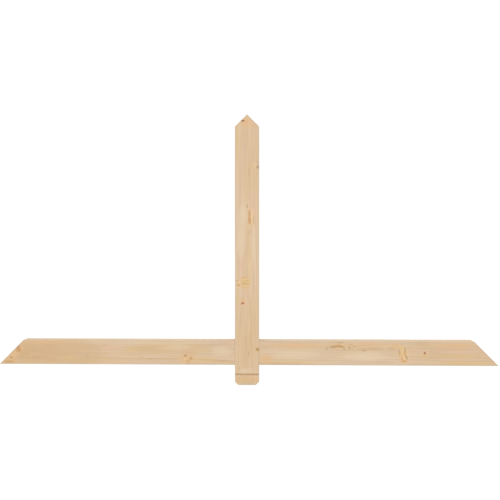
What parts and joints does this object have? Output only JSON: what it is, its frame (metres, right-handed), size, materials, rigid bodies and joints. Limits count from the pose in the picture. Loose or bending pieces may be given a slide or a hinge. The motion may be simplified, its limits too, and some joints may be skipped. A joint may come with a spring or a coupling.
{
  "type": "timber gable bracket",
  "caption": "Flat timber gable bracket: a peaked king post half-lapped flush across a mitred tie beam, to dress the gable end of a 45 degree roof.",
  "frame": {"origin": "on the back face, where the centre lines of the king post and the tie beam cross", "axes": "+X along the tie beam, +Y up the king post towards the ridge, +Z out of the front face"},
  "size_m": [1.8288, 0.9884, 0.0381],
  "materials": {
    "king_post_timber": "planed softwood, unfinished",
    "tie_beam_timber": "planed softwood, unfinished"
  },
  "bodies": {
    "root": {"king_post": "king_post_timber", "tie_beam": "tie_beam_timber"}
  },
  "joints": []
}
